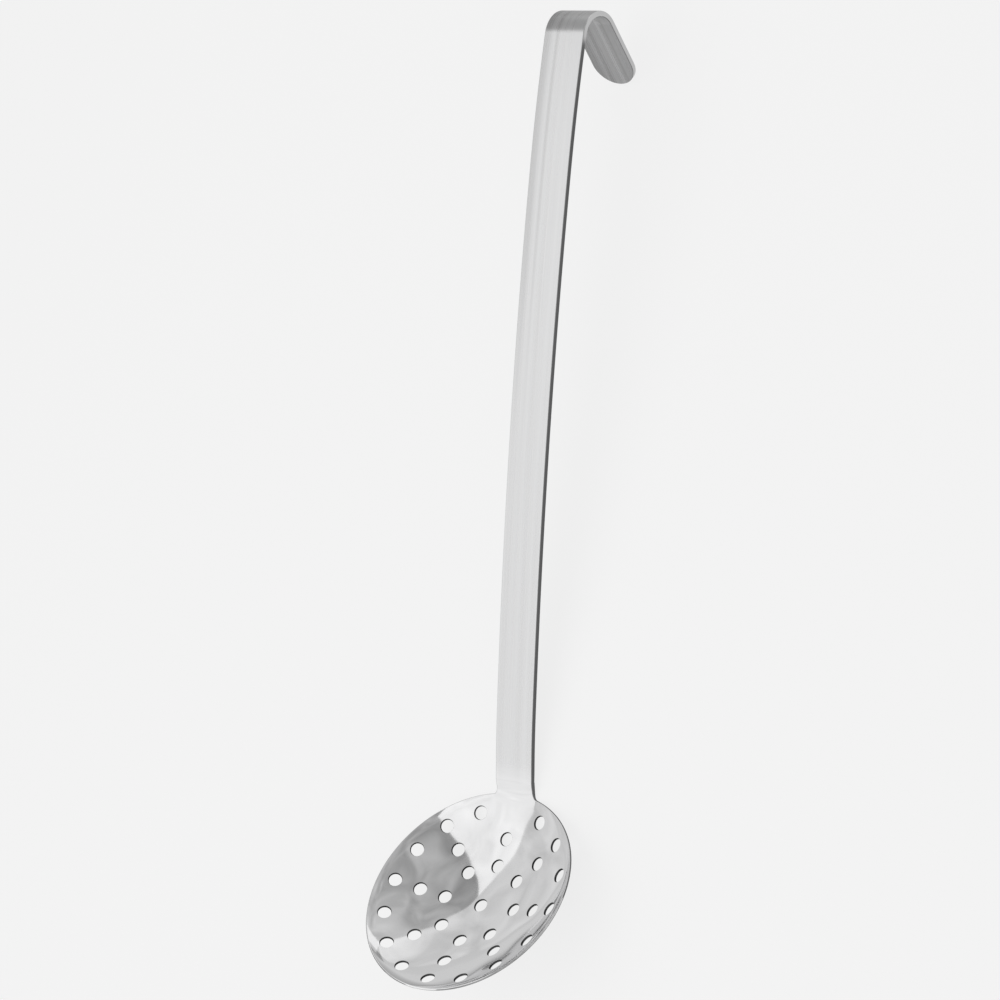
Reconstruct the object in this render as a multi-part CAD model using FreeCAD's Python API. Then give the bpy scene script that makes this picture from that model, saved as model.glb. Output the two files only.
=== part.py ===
"""Perforated skimmer: a shallow round dish on the end of a long flat strap with a hanging hook.

Dish, strap and hook are pressed and bent from one piece of stainless steel, so they are one solid.
Sizes are in millimetres. The skimmer is drawn with the rim of its dish level, the centre of the rim
at the origin and the handle leaving towards +X. The last step lays it down on its dish and the tip
of its hook, as it rests on a table, with the handle still along +X and +Z up.
"""
import FreeCAD
import Part
import math
import os

# Dish: the inner surface is a shallow crown, and a narrow wall that is steeper towards the rim
rim_radius = 50.0
dish_sheet = 1.0
crown_radius = 104.0
wall_width = 3.8
rim_slope = math.radians(35.8)
lip_chamfer = 0.25

# Perforations, punched square to the sheet: one in the centre and three rings, each at its own
# distance from the rim. The last ring leaves out the place where the handle joins.
hole_radius = 3.2
inner_ring_from_rim = 30.75
middle_ring_from_rim = 18.5
outer_ring_from_rim = 6.8
ring_places = (8, 8, 16)

# Strap: flat, a little wider at the hook than at the neck
strap_thickness = 2.5
neck_width = 20.0
hook_width = 21.4

# Where the front face of the strap leaves its root, measured from the rim, and its slope there
neck_reach = 4.1
neck_height = 6.0
neck_slope = math.radians(43.2)

# The strap bows backwards in three arcs, each with its own length and radius
neck_length = 29.5
neck_bow = 542.0
shank_length = 239.6
shank_bow = 2545.0
shoulder_length = 59.0
shoulder_bow = 884.0

# Hook: bent backwards round a rail, with a straight tail that ends in a half round
hook_inner_radius = 10.0
hook_bend = math.radians(128.5)
tail_length = 34.2

# Root: the strap thins and runs down into the wall of the dish as a tongue
root_inset = 4.5
root_lift = 0.7
root_cover = 0.5
tongue_bury = 0.1
tongue_sheet = 0.3
root_fillet = 2.5

# Step along the middle outline where it is tried against the floor
outline_step = 0.05

axis_y = FreeCAD.Vector(0, 1, 0)
axis_z = FreeCAD.Vector(0, 0, 1)


def in_section(x, z):
    """A point or direction in the plane that splits the skimmer lengthwise."""
    return FreeCAD.Vector(x, 0, z)


def along(slope):
    return in_section(math.cos(slope), math.sin(slope))


def normal(slope):
    """Direction out of the front face, or out of the hollow side of the dish."""
    return in_section(-math.sin(slope), math.cos(slope))


def arc(points):
    return Part.Arc(*points).toShape()


# Centres of the two arcs of the dish, from its driving sizes
crown_reach = rim_radius - wall_width
crown_slope = math.asin(crown_reach / crown_radius)
wall_radius = (rim_radius - crown_reach) / (math.sin(rim_slope) - math.sin(crown_slope))
wall_centre = in_section(rim_radius, 0) + normal(rim_slope) * wall_radius
crown_centre = wall_centre + normal(crown_slope) * (crown_radius - wall_radius)


def dish_slope(radius):
    """Slope of the inner surface at a distance from the axis of the dish."""
    if radius <= crown_reach:
        return math.asin(radius / crown_radius)
    return math.asin((radius - wall_centre.x) / wall_radius)


def dish_point(radius, depth=0.0):
    """Point of the inner surface at a distance from the axis, or one that deep in the sheet."""
    slope = dish_slope(radius)
    if radius <= crown_reach:
        return crown_centre - normal(slope) * (crown_radius + depth)
    return wall_centre - normal(slope) * (wall_radius + depth)


def lip_corner(depth, inwards):
    """Ends of the small chamfer on one edge of the lip: on the sheet, and on its cut end."""
    reach = wall_radius + depth
    on_sheet = wall_centre - normal(rim_slope - lip_chamfer / reach) * reach
    on_cut = wall_centre - normal(rim_slope) * (reach + inwards * lip_chamfer)
    return [on_sheet, on_cut]


def make_dish():
    """Revolve the section of the sheet: inner surface, chamfered lip, outer surface."""
    radii = (0.0, crown_reach / 2, crown_reach, rim_radius - wall_width / 2)
    inner, outer = [[dish_point(radius, depth) for radius in radii] for depth in (0.0, dish_sheet)]
    upper_corner = lip_corner(0.0, 1)
    lower_corner = lip_corner(dish_sheet, -1)
    section = Part.Face(Part.Wire([
        arc(inner[0:3]),
        arc([inner[2], inner[3], upper_corner[0]]),
        Part.makeLine(*upper_corner),
        Part.makeLine(upper_corner[1], lower_corner[1]),
        Part.makeLine(*lower_corner[::-1]),
        arc([lower_corner[0], outer[3], outer[2]]),
        arc(outer[2::-1]),
        Part.makeLine(outer[0], inner[0]),
    ]))
    return section.revolve(FreeCAD.Vector(), axis_z, 360)


def make_punches():
    """One cylinder for each hole."""
    length = 6 * dish_sheet
    from_rim = (inner_ring_from_rim, middle_ring_from_rim, outer_ring_from_rim)
    rings = [(0.0, 1, 0)]
    for gap, places in zip(from_rim, ring_places):
        rings.append((rim_radius - gap, places, 1 if gap == outer_ring_from_rim else 0))
    punches = []
    for ring_radius, places, first in rings:
        slope = dish_slope(ring_radius)
        start = dish_point(ring_radius) - normal(slope) * (length / 2)
        for place in range(first, places):
            punch = Part.makeCylinder(hole_radius, length, start, normal(slope))
            punch.rotate(FreeCAD.Vector(), axis_z, 360 * place / places)
            punches.append(punch)
    return punches


def strap_side():
    """Side view of the strap, from its root in the dish to the end of the tail.

    Returns the closed face, the start of the hook, and the end of the tail with its slope.
    """
    hook_outer = hook_inner_radius + strap_thickness
    bows = [(neck_bow, neck_length / neck_bow), (shank_bow, shank_length / shank_bow),
            (shoulder_bow, shoulder_length / shoulder_bow), (hook_outer, hook_bend)]
    point = in_section(rim_radius + neck_reach, neck_height)
    slope = neck_slope
    front, back = root_curves(point, slope)
    for radius, angle in bows:
        hook_start = point
        centre = point - normal(slope) * radius
        slopes = (slope, slope - angle / 2, slope - angle)
        front.append(arc([centre + normal(turned) * radius for turned in slopes]))
        back.append(arc([centre + normal(turned) * (radius - strap_thickness) for turned in slopes]))
        slope -= angle
        point = centre + normal(slope) * radius
    tip = point + along(slope) * tail_length
    through = normal(slope) * strap_thickness
    front.append(Part.makeLine(point, tip))
    back.append(Part.makeLine(point - through, tip - through))
    ends = [Part.makeLine(front[0].firstVertex().Point, back[0].firstVertex().Point),
            Part.makeLine(tip, tip - through)]
    wire = Part.Wire(Part.__sortEdges__(front + back + ends))
    return Part.Face(wire), hook_start, tip, slope


def root_curves(neck, slope):
    """Front and back of the root, from inside the wall of the dish up to the strap proper."""
    foot = rim_radius - root_inset
    ends = {"InitialTangent": along(dish_slope(foot)), "FinalTangent": along(slope)}
    front = Part.BSplineCurve()
    front.interpolate(
        Points=[dish_point(foot, tongue_bury), in_section(rim_radius, root_lift), neck], **ends)
    back = Part.BSplineCurve()
    back.interpolate(
        Points=[dish_point(foot, tongue_bury + tongue_sheet),
                dish_point(rim_radius, dish_sheet + root_cover),
                neck - normal(slope) * strap_thickness], **ends)
    return [front.toShape()], [back.toShape()]


def strap_plan(hook_x, far_x):
    """Plan view of the strap: straight flanks, and a small fillet at each corner with the rim."""
    lip_radius = dish_point(rim_radius, dish_sheet).x
    neck_x = rim_radius + neck_reach
    foot_x = rim_radius - 2 * root_inset
    flare = (hook_width - neck_width) / 2 / (hook_x - neck_x)

    def flank(x):
        return neck_width / 2 + flare * (min(x, hook_x) - neck_x)

    centre_y = flank(lip_radius) + root_fillet
    centre_x = math.sqrt((lip_radius + root_fillet) ** 2 - centre_y ** 2)
    centre = FreeCAD.Vector(centre_x, centre_y, 0)
    on_rim = centre * (lip_radius / (lip_radius + root_fillet))
    on_flank = FreeCAD.Vector(centre_x, flank(centre_x), 0)
    halfway = centre + ((on_rim - centre) + (on_flank - centre)).normalize() * root_fillet
    points = [FreeCAD.Vector(x, flank(x), 0) for x in (hook_x, far_x)]
    far_corner = points[-1]
    foot = FreeCAD.Vector(foot_x, flank(foot_x) - root_fillet, 0)
    half = [
        Part.makeLine(foot, on_rim),
        arc((on_rim, halfway, on_flank)),
        Part.makeLine(on_flank, points[0]),
        Part.makeLine(points[0], far_corner),
    ]
    mirrored = [edge.mirror(FreeCAD.Vector(), axis_y) for edge in half]
    ends = [Part.makeLine(at, FreeCAD.Vector(at.x, -at.y, 0)) for at in (foot, far_corner)]
    return Part.Face(Part.Wire(Part.__sortEdges__(half + mirrored + ends)))


def make_strap():
    """Cross the side view with the plan, then round the end of the tail."""
    side, hook_start, tip, tail_slope = strap_side()
    reach = hook_width
    body = side.translated(axis_y * -reach).extrude(axis_y * 2 * reach)
    low, high = body.BoundBox.ZMin - 1, body.BoundBox.ZMax + 1
    plan = strap_plan(hook_start.x, body.BoundBox.XMax + 1)
    body = body.common(plan.translated(axis_z * low).extrude(axis_z * (high - low)))
    return body.cut(tail_corners(tip, tail_slope)), tip


def tail_corners(tip, slope):
    """What the half round takes off the square end of the tail."""
    radius = hook_width / 2
    through = normal(slope)
    start = tip - along(slope) * radius - through * (2 * strap_thickness)
    disc = Part.makeCylinder(radius, 4 * strap_thickness, start, through)
    block = Part.Face(Part.makePolygon([
        start - axis_y * hook_width,
        start + axis_y * hook_width,
        start + axis_y * hook_width + along(slope) * hook_width,
        start - axis_y * hook_width + along(slope) * hook_width,
        start - axis_y * hook_width,
    ])).extrude(through * (4 * strap_thickness))
    return block.cut(disc)


def resting_turn(body, tip):
    """Angle about +Y that sets the back of the root and the rounded tip of the tail on one level."""
    middle = body.slice(axis_y, 0)
    outline = [point for wire in middle for point in wire.discretize(Distance=outline_step)]
    underside = [point for point in outline if point.x < rim_radius + neck_reach]
    return max(math.atan2(tip.z - point.z, tip.x - point.x) for point in underside)


def lay_down(shape, turn):
    """Turn the skimmer to its resting slope and set it on the floor, centred over the origin."""
    shape.rotate(FreeCAD.Vector(), axis_y, math.degrees(turn))
    box = shape.optimalBoundingBox(False)
    shape.translate(FreeCAD.Vector(-box.Center.x, -box.Center.y, -box.ZMin))
    return shape


def make_skimmer():
    strap, tip = make_strap()
    body = make_dish().fuse(strap).removeSplitter()
    body = body.cut(make_punches())
    return lay_down(body, resting_turn(body, tip))


skimmer = make_skimmer()
os.makedirs("parts", exist_ok=True)
skimmer.exportStep("parts/skimmer_body.step")
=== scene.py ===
# %% [markdown]
# A one-piece skimmer: a shallow perforated dish, a long flat strap and a hanging hook. The real one
# is cut from sheet steel, pressed and bent, so it has no joint, rivet or weld. Here it is one closed
# mesh: a grid is laid over the blank, and each of its points is set where the press would put it.
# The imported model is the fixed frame, and the mesh made here stands exactly where its solid is.

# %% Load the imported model
import math
import bpy
import numpy as np
from mathutils import Matrix, Vector
from mathutils.kdtree import KDTree


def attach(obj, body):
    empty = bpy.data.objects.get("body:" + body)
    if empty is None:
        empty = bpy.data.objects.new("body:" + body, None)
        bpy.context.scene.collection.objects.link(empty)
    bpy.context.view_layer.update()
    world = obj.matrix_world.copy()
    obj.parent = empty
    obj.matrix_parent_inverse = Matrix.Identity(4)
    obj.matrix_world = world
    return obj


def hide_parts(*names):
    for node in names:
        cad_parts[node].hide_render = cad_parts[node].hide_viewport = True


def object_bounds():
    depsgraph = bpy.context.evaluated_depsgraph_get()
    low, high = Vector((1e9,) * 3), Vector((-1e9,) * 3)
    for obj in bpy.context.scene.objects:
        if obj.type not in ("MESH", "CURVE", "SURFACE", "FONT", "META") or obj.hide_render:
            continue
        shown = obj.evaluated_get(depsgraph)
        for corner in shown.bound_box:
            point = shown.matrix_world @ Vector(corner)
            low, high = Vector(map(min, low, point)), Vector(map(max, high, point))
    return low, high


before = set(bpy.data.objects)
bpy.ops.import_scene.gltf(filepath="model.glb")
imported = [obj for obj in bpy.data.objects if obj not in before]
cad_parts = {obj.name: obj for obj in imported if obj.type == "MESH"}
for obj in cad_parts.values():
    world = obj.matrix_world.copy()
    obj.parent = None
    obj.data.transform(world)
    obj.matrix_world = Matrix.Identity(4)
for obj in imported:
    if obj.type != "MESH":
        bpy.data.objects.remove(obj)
bpy.context.view_layer.update()
cad_low, cad_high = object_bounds()
print("CAD box", [round(v, 4) for v in (*cad_low, *cad_high)])

# %% [markdown]
# The sizes are those of the solid, in millimetres, with the rim of the dish level, its centre at the
# origin and the handle leaving towards +X. The skimmer is laid down on the table at the very end.
# BOWS holds the radius and the length of each bow of the strap. EDGE is the radius of the rounded
# edges, and LIP_EASE draws the rim in by a hair, as the lip is round here and chamfered on the solid.

# %% Driving sizes
RIM = 50.0
SHEET = 1.0
CROWN = 104.0
CROWN_REACH = RIM - 3.8
RIM_SLOPE = math.radians(35.8)
STRAP = 2.5
NECK_HALF = 10.0
HOOK_HALF = 10.7
ROOT_START = RIM - 4.5
ROOT_LIFT = 0.7
BLEND_START = ROOT_START - 1.5
NECK_X, NECK_Z = RIM + 4.1, 6.0
NECK_SLOPE = math.radians(43.2)
NECK_FILLET = 2.5
BOWS = [(542.0, 29.5), (2545.0, 239.6), (884.0, 59.0)]
HOOK_OUTER = 12.5
HOOK_BEND = math.radians(128.5)
TAIL = 34.2
EDGE = 0.3
LIP_EASE = 0.03

# %% [markdown]
# The inside of the dish is two arcs that run on from each other: a flat crown, and a wall that gets
# steeper towards the rim. Both are written as a height over the distance from the axis, and the
# wall's arc is followed past the rim, because the root of the strap grows out of it.

# %% Height of the dish
crown_slope = math.asin(CROWN_REACH / CROWN)
WALL = (RIM - CROWN_REACH) / (math.sin(RIM_SLOPE) - math.sin(crown_slope))
wall_x = RIM - WALL * math.sin(RIM_SLOPE)
wall_z = WALL * math.cos(RIM_SLOPE)
crown_z = wall_z + (CROWN - WALL) * math.cos(crown_slope)


def dish_height(radius):
    crown = crown_z - np.sqrt(CROWN ** 2 - np.minimum(radius, CROWN_REACH) ** 2)
    wall = wall_z - np.sqrt(WALL ** 2 - (np.maximum(radius, CROWN_REACH) - wall_x) ** 2)
    return np.where(radius <= CROWN_REACH, crown, wall)


print("dish depth %.2f mm, wall radius %.2f mm" % (-dish_height(np.array(0.0)), WALL))

# %% [markdown]
# At the neck the strap thins out and runs down into the wall of the dish with no line across it. Its
# middle line is a clamped cubic spline through three points. What it adds over the dish's own arc is
# a lift, and the lift fades out sideways, so the whole neck is one smooth height field.

# %% Height of the neck
def root_line():
    """Points of the front of the root, from the wall of the dish to the strap proper."""
    slope = math.asin(ROOT_START / CROWN)
    points = [Vector((ROOT_START, float(dish_height(np.array(ROOT_START))))),
              Vector((RIM, ROOT_LIFT)), Vector((NECK_X, NECK_Z))]
    first = Vector((math.cos(slope), math.sin(slope)))
    last = Vector((math.cos(NECK_SLOPE), math.sin(NECK_SLOPE)))
    span = [(points[i + 1] - points[i]).length for i in (0, 1)]
    pull = span[1] * (points[1] - points[0]) / span[0] + span[0] * (points[2] - points[1]) / span[1]
    middle = (3 * pull - span[1] * first - span[0] * last) / (2 * (span[0] + span[1]))
    ways = [first, middle, last]
    line = []
    for i in (0, 1):
        for step in range(401):
            t = step / 400
            a, b = points[i], points[i + 1]
            da, db = ways[i] * span[i], ways[i + 1] * span[i]
            line.append(a * (2 * t ** 3 - 3 * t ** 2 + 1) + da * (t ** 3 - 2 * t ** 2 + t)
                        + b * (3 * t ** 2 - 2 * t ** 3) + db * (t ** 3 - t ** 2))
    return np.array(line)


root = root_line()
print("root of the strap drawn with", len(root), "points")
FADE_FROM, FADE_TO = 10.6, 15.5


def smooth(value, low, high):
    t = np.clip((value - low) / (high - low), 0.0, 1.0)
    return t * t * t * (t * (6 * t - 15) + 10)


def front_height(x, y):
    """Height of the front of dish and neck over the plan."""
    radius = np.hypot(x, y)
    own = dish_height(radius)
    straight = dish_height(np.maximum(x, 0.0))
    lift = np.interp(x, root[:, 0], root[:, 1]) - straight
    lift = np.where(x > ROOT_START, lift, 0.0)
    flatten = smooth(x, BLEND_START, NECK_X) * (straight - own)
    window = 1 - smooth(np.abs(y), FADE_FROM, FADE_TO)
    return own + np.where(x > BLEND_START, window * (flatten + lift), 0.0)


def front_normal(x, y):
    step = 0.1
    gx = (front_height(x + step, y) - front_height(x - step, y)) / (2 * step)
    gy = (front_height(x, y + step) - front_height(x, y - step)) / (2 * step)
    n = np.stack([-gx, -gy, np.ones_like(gx)], -1)
    return n / np.linalg.norm(n, axis=-1, keepdims=True)


def thickness(x, y):
    window = 1 - smooth(np.abs(y), FADE_FROM, FADE_TO)
    return SHEET + (STRAP - SHEET) * smooth(x, ROOT_START - 1.0, NECK_X + 0.5) * window


# %% [markdown]
# Past the neck the strap is bent in one direction only, so a distance along it gives a point and a
# slope: three long bows, the bend of the hook, and the straight tail.

# %% Line of the strap
def strap_runs():
    x, z, slope = NECK_X, NECK_Z, NECK_SLOPE
    runs = []
    for radius, length in BOWS + [(HOOK_OUTER, HOOK_OUTER * HOOK_BEND)]:
        runs.append((x, z, slope, radius, length))
        cx, cz = x + math.sin(slope) * radius, z - math.cos(slope) * radius
        slope -= length / radius
        x, z = cx - math.sin(slope) * radius, cz + math.cos(slope) * radius
    runs.append((x, z, slope, math.inf, TAIL))
    return runs


runs = strap_runs()
run_starts = np.cumsum([0.0] + [run[4] for run in runs])
LENGTH = run_starts[-1]
HOOK_START = run_starts[3]
ROUND_FROM = LENGTH - HOOK_HALF
print("strap %.1f mm long from the neck to the end of the tail" % LENGTH)


def strap_point(s):
    """Front middle point and slope at a distance along the strap."""
    i = int(np.clip(np.searchsorted(run_starts, s, side="right") - 1, 0, len(runs) - 1))
    x, z, slope, radius, _ = runs[i]
    ahead = s - run_starts[i]
    if math.isinf(radius):
        return x + ahead * math.cos(slope), z + ahead * math.sin(slope), slope
    turned = slope - ahead / radius
    cx, cz = x + math.sin(slope) * radius, z - math.cos(slope) * radius
    return cx - math.sin(turned) * radius, cz + math.cos(turned) * radius, turned


# %% [markdown]
# The blank is a grid of quads. The dish is laid out in rings and spokes. The spokes that meet the
# neck go on as the columns of the strap, between flanks that leave the rim in a small fillet, and
# the last rows close round the half-round end. The rings lie closer together in the steep wall, where
# a mirror shows every facet. Each grid point stores front point, normal, sheet thickness, and the flat
# position that the brushed finish follows later.

# %% Rings, spokes and rows
NECK_COLUMNS = 20
RIM_COLUMNS = 520
FILLET_STEPS = 8
fillet_y = NECK_HALF + NECK_FILLET
fillet_x = math.sqrt((RIM + NECK_FILLET) ** 2 - fillet_y ** 2)
rim_touch = Vector((fillet_x, fillet_y)) * (RIM / (RIM + NECK_FILLET))
touch_angle = math.atan2(rim_touch.y, rim_touch.x)
lip_inset = EDGE * math.cos(RIM_SLOPE) + LIP_EASE
across = np.linspace(-1, 1, NECK_COLUMNS + 1)
neck_angles = np.arcsin(across * rim_touch.y / RIM)
other_angles = np.linspace(touch_angle, 2 * math.pi - touch_angle, RIM_COLUMNS + 1)[1:-1]
spokes = np.concatenate([neck_angles, other_angles])
rings = np.concatenate([
    np.linspace(1.5, 40.0, 26),
    np.linspace(41.0, 46.0, 9),
    np.linspace(46.4, 49.4, 11),
    [RIM - lip_inset],
])


def flank_rows():
    """Plan of the neck's flank: round the fillet, then straight to where the strap begins."""
    start = math.atan2(rim_touch.y - fillet_y, rim_touch.x - fillet_x)
    rows = []
    for angle in np.linspace(start, -math.pi / 2, FILLET_STEPS + 1):
        rows.append((fillet_x + NECK_FILLET * math.cos(angle), fillet_y + NECK_FILLET * math.sin(angle)))
    rows += [(x, NECK_HALF) for x in np.linspace(fillet_x, NECK_X, 6)[1:]]
    return rows


def half_width(s):
    """Half the width of the strap, up to its half-round end."""
    return NECK_HALF + (HOOK_HALF - NECK_HALF) * min(s, HOOK_START) / HOOK_START


strap_rows = np.concatenate([
    np.linspace(0, run_starts[1], 9)[1:],
    np.linspace(run_starts[1], run_starts[2], 41)[1:],
    np.linspace(run_starts[2], HOOK_START, 11)[1:],
    np.linspace(HOOK_START, run_starts[4], 49)[1:],
    np.linspace(run_starts[4], ROUND_FROM, 7)[1:],
    ROUND_FROM + HOOK_HALF * np.sin(np.linspace(0, math.pi / 2, 19)[1:]),
])
print(len(rings), "rings,", len(spokes), "spokes,", len(strap_rows), "rows along the strap")

# %% [markdown]
# The rows of the neck start on the rim circle and straighten until the strap begins. The outline is
# set in to leave room for the rounded edge, which is rolled over from there.

# %% Lay out the blank
points, normals, depths, flats = [], [], [], []


def add_point(point, normal, depth, flat):
    points.append(point)
    normals.append(normal)
    depths.append(depth)
    flats.append(flat)
    return len(points) - 1


def add_plan(x, y):
    """Adds one point of dish or neck from its place in the plan."""
    x, y = np.array(float(x)), np.array(float(y))
    place = (float(x), float(y), float(front_height(x, y)))
    return add_point(place, front_normal(x, y), float(thickness(x, y)), (float(x), float(y)))


dish_rows = [[add_plan(r * math.cos(a), r * math.sin(a)) for a in spokes] for r in rings]
dish_centre = add_plan(0.0, 0.0)
strap_grid = [dish_rows[-1][:NECK_COLUMNS + 1]]
rim_line = np.sqrt(rings[-1] ** 2 - (across * rings[-1] * math.sin(touch_angle)) ** 2)
bulge = rim_line - rim_line[0]
flank = flank_rows()
for i, (x, y) in enumerate(flank[1:], start=1):
    if i <= FILLET_STEPS:
        way = Vector((x - fillet_x, y - fillet_y)).normalized() * (NECK_FILLET + EDGE)
        x, y = fillet_x + way.x, fillet_y + way.y
    else:
        y -= EDGE
    straighten = smooth(np.array(i / (len(flank) - 1)), 0.0, 1.0)
    strap_grid.append([add_plan(x + b * (1 - straighten), c * y) for c, b in zip(across, bulge)])
for s in strap_rows:
    ahead = min((s - ROUND_FROM) / HOOK_HALF, 1.0)
    half = half_width(s) - EDGE
    if ahead > 0:
        s = ROUND_FROM + ahead * (HOOK_HALF - EDGE)
        half = (HOOK_HALF - EDGE) * math.sqrt(1 - ahead ** 2)
    x, z, slope = strap_point(s)
    normal = np.array((-math.sin(slope), 0.0, math.cos(slope)))
    row = across if half > 1e-6 else across[:1]
    added = [add_point((x, c * half, z), normal, STRAP, (NECK_X + s, c * half)) for c in row]
    strap_grid.append(added if len(added) > 1 else added * len(across))
print(len(points), "points on the front of the blank")

# %% [markdown]
# The outline of the blank runs once round the rim and the strap. Each of its points knows which way
# is out. From there the edge rolls over in a quarter round, goes down the cut end and comes back in
# another quarter round to the back of the sheet, so no edge is knife sharp and each one catches light.

# %% Roll the edges over
outline = dish_rows[-1][NECK_COLUMNS:] + [dish_rows[-1][0]]
outline += [row[0] for row in strap_grid[1:]]
outline += [row[-1] for row in strap_grid[-2:0:-1]]
count = len(points)
front = np.array(points)
front_n = np.array(normals)
depth = np.array(depths)
flat = np.array(flats)
loop = np.array(outline)
tangent = np.roll(front[loop], -1, axis=0) - np.roll(front[loop], 1, axis=0)
out = np.cross(tangent, front_n[loop])
out /= np.linalg.norm(out, axis=1, keepdims=True)
sets, set_normals, set_flats = [front], [front_n], [flat]
for back_side in (False, True):
    for degrees in ((30, 60, 90) if not back_side else (90, 60, 30)):
        turn, n = math.radians(degrees), front_n[loop]
        drop = EDGE * (1 - math.cos(turn))
        drop = depth[loop][:, None] - drop if back_side else drop
        sets.append(front[loop] + out * EDGE * math.sin(turn) - n * drop)
        set_normals.append(out * math.sin(turn) + n * math.cos(turn) * (-1 if back_side else 1))
        set_flats.append(flat[loop])
sets.append(front - front_n * depth[:, None])
set_normals.append(-front_n)
set_flats.append(flat)
verts = np.concatenate(sets)
true_normals = np.concatenate(set_normals)
true_normals /= np.linalg.norm(true_normals, axis=1, keepdims=True)
flat_places = np.concatenate(set_flats)
print(len(outline), "points round the outline")

# %% [markdown]
# Four neighbours of the grid make one quad. The back repeats the quads of the front the other way
# round, and a row of quads between each two levels of the rolled edge closes the sheet.

# %% Close the back and make the mesh
quads = []
for inner, outer in zip(dish_rows[:-1], dish_rows[1:]):
    for j in range(len(spokes)):
        k = (j + 1) % len(spokes)
        quads.append((inner[j], outer[j], outer[k], inner[k]))
for j in range(len(spokes)):
    quads.append((dish_centre, dish_rows[0][j], dish_rows[0][(j + 1) % len(spokes)]))
for near, far in zip(strap_grid[:-1], strap_grid[1:]):
    for j in range(NECK_COLUMNS):
        quads.append((near[j], far[j], far[j + 1], near[j + 1]))
rolled = len(sets) - 2
back_first = count + rolled * len(loop)
faces = quads + [tuple(back_first + v for v in reversed(q)) for q in quads]
levels = [loop]
levels += [count + k * len(loop) + np.arange(len(loop)) for k in range(rolled)]
levels += [back_first + loop]
for upper, lower in zip(levels[:-1], levels[1:]):
    for b in range(len(loop)):
        c = (b + 1) % len(loop)
        faces.append((upper[b], lower[b], lower[c], upper[c]))
faces = [tuple(int(v) for v in dict.fromkeys(f)) for f in faces]
blank_mesh = bpy.data.meshes.new("skimmer_blank")
blank_mesh.from_pydata(verts.tolist(), [], faces)
blank_mesh.validate()
skimmer = bpy.data.objects.new("skimmer", blank_mesh)
bpy.context.scene.collection.objects.link(skimmer)
print(len(verts), "points,", len(faces), "faces in the closed blank")

# %% [markdown]
# A node tree gets long when every node and every link takes a line. A small class wraps one output of
# a node, so that sums on it are written as plain Python, and one function adds any other node.

# %% A short way to write node trees
class Value:
    """One output of a node, on which sums can be written as plain Python."""

    def __init__(self, tree, socket):
        self.tree, self.socket = tree, socket

    def _math(self, operation, *others):
        node = self.tree.nodes.new("ShaderNodeMath")
        node.operation = operation
        for i, item in enumerate((self, *others)):
            feed(self.tree, item, node.inputs[i])
        return Value(self.tree, node.outputs[0])

    def _flipped(self, operation, other):
        node = self.tree.nodes.new("ShaderNodeMath")
        node.operation = operation
        feed(self.tree, other, node.inputs[0])
        feed(self.tree, self, node.inputs[1])
        return Value(self.tree, node.outputs[0])

    def __add__(self, other):
        return self._math("ADD", other)

    def __radd__(self, other):
        return self._flipped("ADD", other)

    def __sub__(self, other):
        return self._math("SUBTRACT", other)

    def __rsub__(self, other):
        return self._flipped("SUBTRACT", other)

    def __mul__(self, other):
        return self._math("MULTIPLY", other)

    def __rmul__(self, other):
        return self._flipped("MULTIPLY", other)

    def __truediv__(self, other):
        return self._math("DIVIDE", other)

    def __gt__(self, other):
        return self._math("GREATER_THAN", other)

    def clamped(self):
        return self._math("MINIMUM", 1.0)._math("MAXIMUM", 0.0)

    def ramp(self, low, high):
        """0 up to low, 1 from high, and a soft step between them."""
        node = self.tree.nodes.new("ShaderNodeMapRange")
        node.interpolation_type = "SMOOTHSTEP"
        feed(self.tree, self, node.inputs["Value"])
        node.inputs["From Min"].default_value = low
        node.inputs["From Max"].default_value = high
        return Value(self.tree, node.outputs["Result"])


def feed(tree, item, socket):
    if isinstance(item, Value):
        tree.links.new(item.socket, socket)
    else:
        socket.default_value = item


def make(tree, kind, settings=None, output=0, **sockets):
    """Adds a node: its settings first, then the values or links of its sockets, by number or name."""
    node = tree.nodes.new(kind)
    for name, value in (settings or {}).items():
        setattr(node, name, value)
    for name, item in sockets.items():
        key = int(name[1:]) if name[0] == "i" and name[1:].isdigit() else name.replace("_", " ")
        for one in item if isinstance(item, list) else [item]:
            feed(tree, one, node.inputs[key])
    return Value(tree, node.outputs[output])


# %% [markdown]
# The perforations are punched in a press. In Geometry Nodes the same is done with one punch,
# repeated on the points of three circles and one in the middle. Each point is dropped onto
# the dish with a ray, the punch is turned square to the sheet there, and a boolean takes it away.
# The punch narrows a little towards the back of the sheet, and flares at both ends, which breaks the
# edge of every hole. The sheet curves up by about CURVE_RISE from the middle of a hole to its edge, and
# the punch is lifted by as much.

# %% The tree that punches the dish
HOLE = 3.2
EDGE_BREAK = 0.08
TAPER = 0.22
CURVE_RISE = 0.05
HOLE_RINGS = {"Inner": (19.25, 8), "Middle": (31.5, 8), "Outer": (43.2, 16)}


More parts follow.
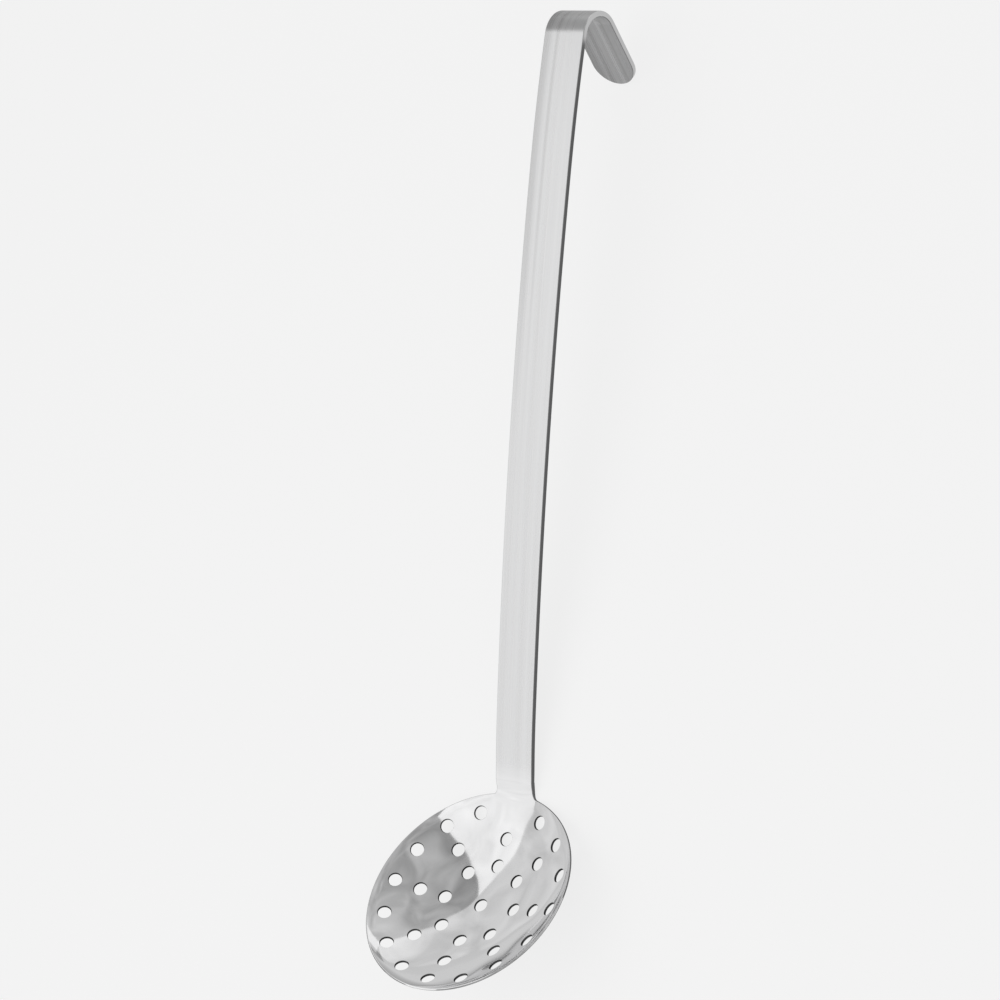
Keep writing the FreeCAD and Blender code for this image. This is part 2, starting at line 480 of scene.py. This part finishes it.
def perforation_tree():
    tree = bpy.data.node_groups.new("perforations", "GeometryNodeTree")
    sizes = {"Hole Radius": HOLE, "Edge Break": EDGE_BREAK, "Taper": TAPER, "Sheet": SHEET}
    sizes.update({name + " Ring": ring[0] for name, ring in HOLE_RINGS.items()})
    counts = {name + " Places": ring[1] for name, ring in HOLE_RINGS.items()}
    face = tree.interface
    face.new_socket("Skimmer", in_out="INPUT", socket_type="NodeSocketGeometry")
    for name in sizes:
        face.new_socket(name, in_out="INPUT", socket_type="NodeSocketFloat")
    for name in counts:
        face.new_socket(name, in_out="INPUT", socket_type="NodeSocketInt")
    face.new_socket("Steel", in_out="INPUT", socket_type="NodeSocketMaterial")
    face.new_socket("Perforated", in_out="OUTPUT", socket_type="NodeSocketGeometry")
    given = tree.nodes.new("NodeGroupInput")

    def asked(name):
        return Value(tree, given.outputs[name])

    index = make(tree, "GeometryNodeInputIndex")
    rings_of_points = []
    for ring in HOLE_RINGS:
        circle = make(tree, "GeometryNodeMeshCircle", i0=asked(ring + " Places"), i1=asked(ring + " Ring"))
        if ring == "Outer":
            at_handle = make(tree, "FunctionNodeCompare", {"data_type": "INT", "operation": "EQUAL"},
                             i2=index, i3=0)
            circle = make(tree, "GeometryNodeDeleteGeometry", {"domain": "POINT"},
                          Geometry=circle, Selection=at_handle)
        rings_of_points.append(circle)
    rings_of_points.append(make(tree, "GeometryNodeMeshLine", {"mode": "OFFSET"}, Count=1))
    places = make(tree, "GeometryNodeJoinGeometry", Geometry=rings_of_points)
    ray = tree.nodes.new("GeometryNodeRaycast")
    position = make(tree, "GeometryNodeInputPosition")
    start = 60.0
    over = make(tree, "ShaderNodeVectorMath", {"operation": "ADD"}, i0=position, i1=(0.0, 0.0, start))
    feed(tree, asked("Skimmer"), ray.inputs["Target Geometry"])
    feed(tree, over, ray.inputs["Source Position"])
    ray.inputs["Ray Direction"].default_value = (0.0, 0.0, -1.0)
    ray.inputs["Ray Length"].default_value = 2 * start
    hit = Value(tree, ray.outputs["Hit Position"])
    square = Value(tree, ray.outputs["Hit Normal"])
    half = asked("Sheet") * 0.5
    into = make(tree, "ShaderNodeVectorMath", {"operation": "SCALE"}, i0=square, Scale=CURVE_RISE - half)
    middle = make(tree, "ShaderNodeVectorMath", {"operation": "ADD"}, i0=hit, i1=into)
    turned = make(tree, "FunctionNodeAlignRotationToVector", {"axis": "Z"}, Vector=square)

    spine = make(tree, "GeometryNodeCurvePrimitiveLine", Start=(0.0, 0.0, -1.0), End=(0.0, 0.0, 1.0))
    spine = make(tree, "GeometryNodeResampleCurve", Curve=spine, Count=4)
    flare = 1.0
    end = (index - 1.5)._math("ABSOLUTE") > 1.0
    above = index > 1.5
    upper = above * 2.0 - 1.0
    reach = half - asked("Edge Break") + end * (asked("Edge Break") + flare)
    height = make(tree, "ShaderNodeCombineXYZ", Z=upper * reach)
    spine = make(tree, "GeometryNodeSetPosition", Geometry=spine, Position=height)
    girth = asked("Hole Radius") - asked("Taper") * (1.0 - above) + end * (asked("Edge Break") + flare)
    profile = make(tree, "GeometryNodeCurvePrimitiveCircle", Resolution=64, Radius=1.0)
    punch = make(tree, "GeometryNodeCurveToMesh", Curve=spine, Profile_Curve=profile,
                 Scale=girth, Fill_Caps=True)

    placed = make(tree, "GeometryNodeSetPosition", Geometry=places, Position=middle)
    punches = make(tree, "GeometryNodeInstanceOnPoints", Points=placed, Instance=punch, Rotation=turned)
    punches = make(tree, "GeometryNodeRealizeInstances", Geometry=punches)
    cut = make(tree, "GeometryNodeMeshBoolean", {"operation": "DIFFERENCE", "solver": "EXACT"},
               i0=asked("Skimmer"), i1=punches)
    cut = make(tree, "GeometryNodeRealizeInstances", Geometry=cut)
    cut = make(tree, "GeometryNodeSetShadeSmooth", Geometry=cut, Shade_Smooth=True)
    cut = make(tree, "GeometryNodeSetMaterial", Geometry=cut, Material=asked("Steel"))
    result = tree.nodes.new("NodeGroupOutput")
    feed(tree, cut, result.inputs["Perforated"])
    return tree, {**sizes, **counts}


steel = bpy.data.materials.new("stainless_steel")
tree, given_values = perforation_tree()
punching = skimmer.modifiers.new("perforations", "NODES")
punching.node_group = tree
for item in tree.interface.items_tree:
    if item.in_out == "INPUT" and item.name in given_values:
        punching[item.identifier] = given_values[item.name]
    if item.name == "Steel":
        punching[item.identifier] = steel
dg = bpy.context.evaluated_depsgraph_get()
punched = bpy.data.meshes.new_from_object(skimmer.evaluated_get(dg))
skimmer.modifiers.clear()
skimmer.data = punched
punched.name = "skimmer"
print(len(punched.vertices), "points,", len(punched.polygons), "faces after punching")

# %% [markdown]
# A mirror finish shows every flaw of its normals, and a boolean leaves long faces beside the holes.
# The true normal is known everywhere: from the height of dish and neck, from the line of the strap,
# or from the axis of the hole. It is written onto the points, with the flat place that the finish
# follows and two marks: sheared for the walls of the holes, and trimmed for the cut edge round the
# outline.

# %% True normals and flat places
def dish_normal(x, y):
    return front_normal(np.array(x), np.array(y))


def hole_axes():
    """Foot and direction of every hole's axis."""
    axes = []
    for radius, places in [(0.0, 1), *HOLE_RINGS.values()]:
        first = 1 if radius == HOLE_RINGS["Outer"][0] else 0
        for place in range(first, places):
            angle = 2 * math.pi * place / places
            x, y = radius * math.cos(angle), radius * math.sin(angle)
            foot = np.array((x, y, float(dish_height(np.array(radius)))))
            axes.append((foot, dish_normal(x, y)))
    return axes


tree_of_points = KDTree(len(verts))
for i, place in enumerate(verts):
    tree_of_points.insert(place, i)
tree_of_points.balance()
kept = np.empty(len(punched.vertices) * 3)
punched.vertices.foreach_get("co", kept)
kept = kept.reshape(-1, 3)
vertex_normals = np.zeros_like(kept)
vertex_flats = np.zeros((len(kept), 2))
sheared = np.zeros(len(kept))
trimmed = np.zeros(len(kept))
SAME_POINT = 1e-3
SIDE_REACH = HOLE + EDGE_BREAK + 0.25
THROUGH_REACH = 2.5 * SHEET
new_points = 0
for i, place in enumerate(kept):
    _, nearest, distance = tree_of_points.find(place)
    if distance < SAME_POINT:
        vertex_normals[i], vertex_flats[i] = true_normals[nearest], flat_places[nearest]
        trimmed[i] = count <= nearest < back_first
    else:
        new_points += 1
        vertex_flats[i] = place[:2]
for foot, axis in hole_axes():
    away = kept - foot
    along = away @ axis
    radial = away - along[:, None] * axis
    distance = np.linalg.norm(radial, axis=1)
    unset = (vertex_normals ** 2).sum(axis=1) < 0.5
    mine = unset & (distance < SIDE_REACH) & (np.abs(along) < THROUGH_REACH)
    inward = -radial / np.maximum(distance, 1e-6)[:, None]
    wall_radius = HOLE - TAPER * np.clip(-along / SHEET, 0.0, 1.0)
    rim_point = distance > wall_radius + 0.5 * EDGE_BREAK
    facing = np.where(along > -0.5 * SHEET, 1.0, -1.0)
    sheet_normal = np.array([dish_normal(p[0], p[1]) for p in kept[mine]]).reshape(-1, 3)
    sheared[mine & ~rim_point] = 1.0
    on_sheet = sheet_normal * facing[mine][:, None]
    vertex_normals[mine] = np.where(rim_point[mine][:, None], on_sheet, inward[mine])
unset = (vertex_normals ** 2).sum(axis=1) < 0.5
print(new_points, "points made by the punch,", int(unset.sum()), "left without a normal")

# %% [markdown]
# The finished mesh is turned to the slope at which the skimmer rests, and set down where the packed
# solid lies. Points that would stand just outside the solid's box are drawn in to it.

# %% Lay the skimmer down and give it its normals
RESTING_TURN = math.radians(29.4671)
DISH_PLACE = Vector((-171.7377, 0.0, 26.0871))
lay_down = Matrix.Scale(0.001, 4) @ Matrix.Translation(DISH_PLACE) @ Matrix.Rotation(RESTING_TURN, 4, "Y")
punched.transform(lay_down)
placed = np.empty(len(kept) * 3)
punched.vertices.foreach_get("co", placed)
drawn_in = np.clip(placed.reshape(-1, 3), cad_low, cad_high)
print("points drawn in by up to %.3f mm" % (1000 * np.abs(drawn_in - placed.reshape(-1, 3)).max()))
punched.vertices.foreach_set("co", drawn_in.ravel())
turned = np.array(Matrix.Rotation(RESTING_TURN, 3, "Y"))
vertex_normals = vertex_normals @ turned.T
for polygon in punched.polygons:
    polygon.use_smooth = True
punched.normals_split_custom_set_from_vertices(vertex_normals.tolist())
blank_map = punched.uv_layers.new(name="blank")
corners = np.empty(len(punched.loops), dtype=np.int32)
punched.loops.foreach_get("vertex_index", corners)
blank_map.data.foreach_set("uv", (vertex_flats[corners] * 0.001).ravel())
punched.attributes.new("sheared", "FLOAT", "POINT").data.foreach_set("value", sheared)
punched.attributes.new("trimmed", "FLOAT", "POINT").data.foreach_set("value", trimmed)
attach(skimmer, "root")
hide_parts("skimmer_body")
bpy.data.node_groups.remove(tree)
print("laid down at a slope of %.1f degrees" % math.degrees(RESTING_TURN))

# %% [markdown]
# Stainless steel in two finishes. The dish is polished like a mirror and keeps only faint waves from
# the press. The strap is satin: fine scratches run along it, which on the real strap spread a reflection
# across it and hardly along it; here they are streaks of roughness drawn out along the strap. Both are
# one metal, so one material fades from one finish to the other.

# %% Streaks along the strap
steel.use_nodes = True
nodes = steel.node_tree
nodes.nodes.clear()
blank = make(nodes, "ShaderNodeUVMap", {"uv_map": "blank"})
apart = nodes.nodes.new("ShaderNodeSeparateXYZ")
feed(nodes, blank, apart.inputs[0])
flat_x = Value(nodes, apart.outputs["X"]) * 1000.0
flat_y = Value(nodes, apart.outputs["Y"]) * 1000.0
satin = flat_x.ramp(49.0, 62.0)


def streaks(along, over, detail, seed):
    """Noise drawn out along the strap: along and over are millimetres per streak."""
    place = make(nodes, "ShaderNodeCombineXYZ", X=flat_x / along, Y=flat_y / over, Z=seed)
    return make(nodes, "ShaderNodeTexNoise", {"noise_dimensions": "3D"}, Vector=place,
                Scale=1.0, Detail=detail, Roughness=0.6)


def band(middle, half):
    """A soft line along the strap: 1 in its middle, 0 from half its width on."""
    return 1.0 - (flat_y - middle)._math("ABSOLUTE").ramp(0.2 * half, half)


# %% [markdown]
# Past the neck the strap is painted darker: painted shade that dims the panel mirrored there. Towards
# the hook it is darker along one flank, painted shade for an edge that turns from the light, and along
# a streak beside it. The tail has streaks of its own, over a painted shade that darkens it a little.
# The sheared walls of the holes are dull and painted dark: partly their own dark cut steel, partly
# painted shade inside the holes. The cut edge round the outline is smoother than the brushed faces.

# %% Finish of the steel
POLISHED_ROUGHNESS = 0.07
SATIN_ROUGHNESS = 0.21
SHEARED_ROUGHNESS = 0.3
SHADE = 0.775
fine = streaks(60.0, 0.22, 3.0, 3.7)
broad = streaks(240.0, 2.6, 2.0, 11.2)
waves = make(nodes, "ShaderNodeTexNoise", {"noise_dimensions": "3D"}, Scale=0.032, Detail=1.0,
             Vector=make(nodes, "ShaderNodeCombineXYZ", X=flat_x, Y=flat_y, Z=0.0))
cut = make(nodes, "ShaderNodeAttribute", {"attribute_name": "sheared"}, output=2)
edge = make(nodes, "ShaderNodeAttribute", {"attribute_name": "trimmed"}, output=2)
brushed = satin * (SATIN_ROUGHNESS + 0.10 * (fine - 0.5) + 0.12 * (broad - 0.5))
rough = POLISHED_ROUGHNESS + brushed * (1.0 - 0.8 * edge) + cut * SHEARED_ROUGHNESS
# Painted shade along one flank, for an edge turned from the light, and a darker streak beside it.
shaded_flank_and_streak = flat_x.ramp(190.0, 330.0) * (flat_y.ramp(5.0, 8.5) * 0.12 + band(3.4, 1.3) * 0.07)
# Streaks on the tail, over a painted shade that darkens the whole tail a little.
tail_streaks_and_shade = flat_x.ramp(403.0, 409.0) * (band(-2.6, 1.6) * 0.10 - band(-5.4, 0.8) * 0.08 - 0.02)
streaky = 0.17 * (broad - 0.5) + 0.05 * (fine - 0.5)
# The ramp over flat_x is painted shade on neck and strap, which dims the panel mirrored there.
shade = SHADE - flat_x.ramp(36.0, 66.0) * 0.09 + satin * streaky - shaded_flank_and_streak + tail_streaks_and_shade
# The walls are painted dark: partly their own dark cut steel, partly painted shade inside the holes.
shade = shade * (1.0 - 0.8 * cut)
colour = make(nodes, "ShaderNodeCombineColor", Red=shade, Green=shade, Blue=shade * 1.005)
height = satin * fine * 0.0000035 + waves * (1.0 - satin) * 0.0009
relief = make(nodes, "ShaderNodeBump", Strength=1.0, Distance=1.0, Height=height)
shader = make(nodes, "ShaderNodeBsdfPrincipled", Base_Color=colour, Metallic=1.0,
              Roughness=rough, Normal=relief)
result = nodes.nodes.new("ShaderNodeOutputMaterial")
feed(nodes, shader, result.inputs["Surface"])
print(len(nodes.nodes), "nodes in the steel")

# %% [markdown]
# The floor is plain and pale. The camera sees it nearly white, with a faint soft shadow. The metal
# mirrors it as well, and to mirrored rays the floor glows in painted light and shade: a painted shadow
# in front of the skimmer, so that the side of the strap reads as a thin dark line, painted light past
# the hook, a grey glow behind it with a painted pool of light, and painted shade again past the dish.

# %% Floor
floor_mesh = bpy.data.meshes.new("floor")
floor_mesh.from_pydata([(-3, -3, 0), (3, -3, 0), (3, 3, 0), (-3, 3, 0)], [], [(0, 1, 2, 3)])
floor = bpy.data.objects.new("floor", floor_mesh)
bpy.context.scene.collection.objects.link(floor)
pale = bpy.data.materials.new("pale_floor")
pale.use_nodes = True
nodes = pale.node_tree
nodes.nodes.clear()
FLOOR_SEEN = 0.8
FLOOR_MIRRORED = 0.8
place = nodes.nodes.new("ShaderNodeSeparateXYZ")
feed(nodes, make(nodes, "ShaderNodeTexCoord", output=3), place.inputs[0])
floor_x, floor_y = (Value(nodes, place.outputs[i]) for i in range(2))
path = nodes.nodes.new("ShaderNodeLightPath")
by_camera = Value(nodes, path.outputs["Is Camera Ray"])
by_metal = Value(nodes, path.outputs["Is Glossy Ray"])
# To mirrored rays the floor glows: painted shadow in front, painted light past the hook, a grey glow
# behind with a painted pool of light, and painted shade past the dish and beyond the card's line.
behind = floor_y.ramp(-0.015, 0.02)
front_level = 0.08 + 0.70 * (floor_x + 0.6 * floor_y).ramp(0.181, 0.184)
beyond_card = (0.689 * floor_x + 0.725 * floor_y).ramp(0.285, 0.300)
painted_light_pool = floor_y.ramp(0.07, 0.15) * (1.0 - floor_x.ramp(0.20, 0.30)) * (1.0 - beyond_card)
back_level = (0.46 - 0.12 * beyond_card + 0.35 * painted_light_pool) * (0.15 + 0.85 * floor_x.ramp(-0.17, -0.10))
mirrored = front_level + behind * (back_level - front_level)
matt = make(nodes, "ShaderNodeBsdfDiffuse", Color=(0.8, 0.8, 0.8, 1.0))
glow = make(nodes, "ShaderNodeEmission", Color=(1.0, 1.0, 1.0, 1.0),
            Strength=by_camera + by_metal * mirrored)
plain = by_camera * FLOOR_SEEN + by_metal * FLOOR_MIRRORED
mixed = make(nodes, "ShaderNodeMixShader", i0=plain, i1=matt, i2=glow)
result = nodes.nodes.new("ShaderNodeOutputMaterial")
feed(nodes, mixed, result.inputs["Surface"])
floor_mesh.materials.append(pale)
print(len(nodes.nodes), "nodes in the floor")

# %% [markdown]
# Polished steel has no colour of its own to show: it shows the studio. The room is dim and
# uneven, with a lighter wall to one side. A camera ray that misses the floor finds plain white.

# %% Surround
world = bpy.data.worlds.new("studio")
bpy.context.scene.world = world
world.use_nodes = True
nodes = world.node_tree
nodes.nodes.clear()
DIM = 0.39
path = nodes.nodes.new("ShaderNodeLightPath")
seen = Value(nodes, path.outputs["Is Camera Ray"])
way = make(nodes, "ShaderNodeTexCoord", output=0)
parts = nodes.nodes.new("ShaderNodeSeparateXYZ")
feed(nodes, way, parts.inputs[0])
way_x, way_y, way_z = (Value(nodes, parts.outputs[i]) for i in range(3))
patches = make(nodes, "ShaderNodeTexNoise", {"noise_dimensions": "3D"}, Vector=way, Scale=3.6, Detail=4.0,
               Roughness=0.55, Distortion=1.0)
aside = (0.745 * way_x - 0.644 * way_y - 0.173 * way_z).clamped()
dim = (DIM + 0.27 * aside) * (0.20 + 1.6 * patches)
wall = (0.219 * way_x - 0.790 * way_y - 0.572 * way_z).ramp(-0.03, 0.03)
wall = wall * (0.12 + 0.5 * way_y - way_z).ramp(-0.015, 0.015)
level = dim + wall * (0.72 - dim)
surround = make(nodes, "ShaderNodeBackground", Color=(1.0, 1.0, 1.0, 1.0), Strength=level)
white = make(nodes, "ShaderNodeBackground", Color=(1.0, 1.0, 1.0, 1.0), Strength=1.0)
mixed = make(nodes, "ShaderNodeMixShader", i0=seen, i1=surround, i2=white)
result = nodes.nodes.new("ShaderNodeOutputWorld")
feed(nodes, mixed, result.inputs["Surface"])
print(len(nodes.nodes), "nodes in the surround")

# %% [markdown]
# A large soft panel leans over the skimmer from behind, with a smaller one at its foot. A dimmer card
# leans behind the handle, and a small one stands beyond the hook. The edges of panel and card are the
# edges that the dish mirrors. The two cards light the metal only, because the foot of a card would draw
# a line on the floor.

# %% Panels and cards
def panel(name, corner, width, height, brightness):
    """Soft rectangular lamp from one corner and two edges. It shines against width x height."""
    width, height = Vector(width), Vector(height)
    lamp = bpy.data.lights.new(name, "AREA")
    lamp.shape, lamp.size, lamp.size_y = "RECTANGLE", width.length, height.length
    lamp.energy = brightness * math.pi * width.length * height.length
    stand = bpy.data.objects.new(name, lamp)
    x, y = width.normalized(), height.normalized()
    turn = Matrix((x, y, x.cross(y))).transposed().to_4x4()
    stand.matrix_world = Matrix.Translation(Vector(corner) + (width + height) / 2) @ turn
    bpy.context.scene.collection.objects.link(stand)
    print(name, "%.2f x %.2f m, %.1f W" % (lamp.size, lamp.size_y, lamp.energy))
    return stand


panel("softbox", (0.478, 0.6, 0.54), (-1.7, 0.0, 0.0), (0.0, -0.91, 3.38), 0.685)
panel("softbox_foot", (-0.35, 0.6, 0.3), (-0.872, 0.0, 0.0), (0.0, 0.0, 0.24), 0.685)
card = panel("card", (-0.1767, 0.5731, 0.5184), (0.4767, -0.4531, -0.4034),
             (-0.2274, 0.2162, -0.5114), 0.34)
card_end = panel("card_end", (0.45, -0.08, 0.0), (0.0, 0.245, 0.0), (0.0, 0.0, 0.14), 0.34)
card.visible_diffuse = card_end.visible_diffuse = False


# %% [markdown]
# The camera looks down at the resting skimmer from where the photograph was taken: well above it, to
# one side, and rolled until the handle points up in the picture. The long lens flattens the view.

# %% Camera
AIM = Vector((-0.0011361, 0.0145578, 0.025))
AZIMUTH, ELEVATION, ROLL = (math.radians(v) for v in (-94.80083, 51.56331, -77.74860))
DISTANCE = 1.659986
LENS = 135.635
back = Vector((math.cos(AZIMUTH) * math.cos(ELEVATION), math.sin(AZIMUTH) * math.cos(ELEVATION),
               math.sin(ELEVATION)))
side = Vector((-math.sin(AZIMUTH), math.cos(AZIMUTH), 0.0))
above = back.cross(side)
right = side * math.cos(ROLL) + above * math.sin(ROLL)
up = above * math.cos(ROLL) - side * math.sin(ROLL)
lens = bpy.data.cameras.new("camera")
lens.lens, lens.sensor_width, lens.sensor_fit = LENS, 36.0, "HORIZONTAL"
lens.clip_start, lens.clip_end = 0.05, 20.0
camera = bpy.data.objects.new("camera", lens)
turn = Matrix((right, up, back)).transposed()
camera.matrix_world = Matrix.Translation(AIM + back * DISTANCE) @ turn.to_4x4()
bpy.context.scene.collection.objects.link(camera)
bpy.context.scene.camera = camera
print("camera %.2f m from its aim, lens %.0f mm" % (DISTANCE, LENS))

# %% [markdown]
# The view transform is plain, so a colour renders about as it is written.

# %% Look of the picture
view = bpy.context.scene.view_settings
view.view_transform = "Standard"
